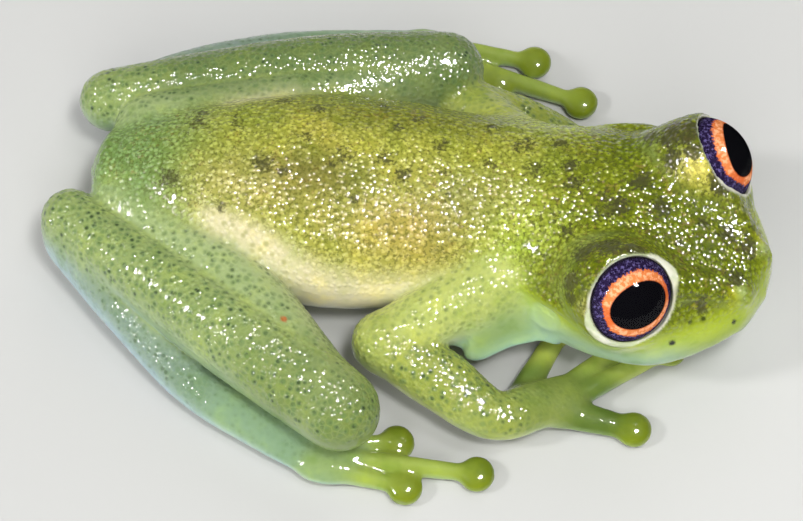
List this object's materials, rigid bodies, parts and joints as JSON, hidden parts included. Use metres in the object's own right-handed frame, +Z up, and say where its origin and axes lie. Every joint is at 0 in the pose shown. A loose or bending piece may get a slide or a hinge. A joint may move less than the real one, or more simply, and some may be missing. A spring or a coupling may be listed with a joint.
{
  "type": "glass frog",
  "caption": "Small translucent green frog at rest, flat on its belly with folded legs, toe discs and large forward eyes; still life-size model.",
  "frame": {"origin": "on the floor under the middle of the model's box, below the belly", "axes": "+X forward along the body towards the snout, +Y to the frog's left, +Z up"},
  "size_m": [0.0398, 0.0304, 0.0105],
  "materials": {
    "back_skin": "wet, fine granules, olive yellow-green with dark flecks",
    "face_skin": "wet, granular on top, smooth and paler on the lips",
    "throat_skin": "smooth, wet, pale green",
    "limb_skin": "smooth, wet, translucent green with dark dots",
    "digit_skin": "smooth, wet, translucent yellow-green",
    "iris": "wet gloss, orange ring in a violet ring, black oval pupil",
    "eardrum_skin": "smooth, wet"
  },
  "bodies": {
    "root": {"torso": "back_skin", "head": "face_skin", "lower_jaw": "throat_skin", "eardrum_left": "eardrum_skin", "eardrum_right": "eardrum_skin", "eye_left": "iris", "eye_right": "iris", "finger_left_1": "digit_skin", "finger_left_2": "digit_skin", "finger_left_3": "digit_skin", "finger_left_4": "digit_skin", "finger_right_1": "digit_skin", "finger_right_2": "digit_skin", "finger_right_3": "digit_skin", "finger_right_4": "digit_skin", "foot_left": "limb_skin", "foot_right": "limb_skin", "forearm_left": "limb_skin", "forearm_right": "limb_skin", "hand_left": "limb_skin", "hand_right": "limb_skin", "shank_left": "limb_skin", "shank_right": "limb_skin", "tarsus_left": "limb_skin", "tarsus_right": "limb_skin", "thigh_left": "limb_skin", "thigh_right": "limb_skin", "toe_left_1": "digit_skin", "toe_left_2": "digit_skin", "toe_left_3": "digit_skin", "toe_left_4": "digit_skin", "toe_left_5": "digit_skin", "toe_right_1": "digit_skin", "toe_right_2": "digit_skin", "toe_right_3": "digit_skin", "toe_right_4": "digit_skin", "toe_right_5": "digit_skin", "upper_arm_left": "limb_skin", "upper_arm_right": "limb_skin"}
  },
  "joints": []
}
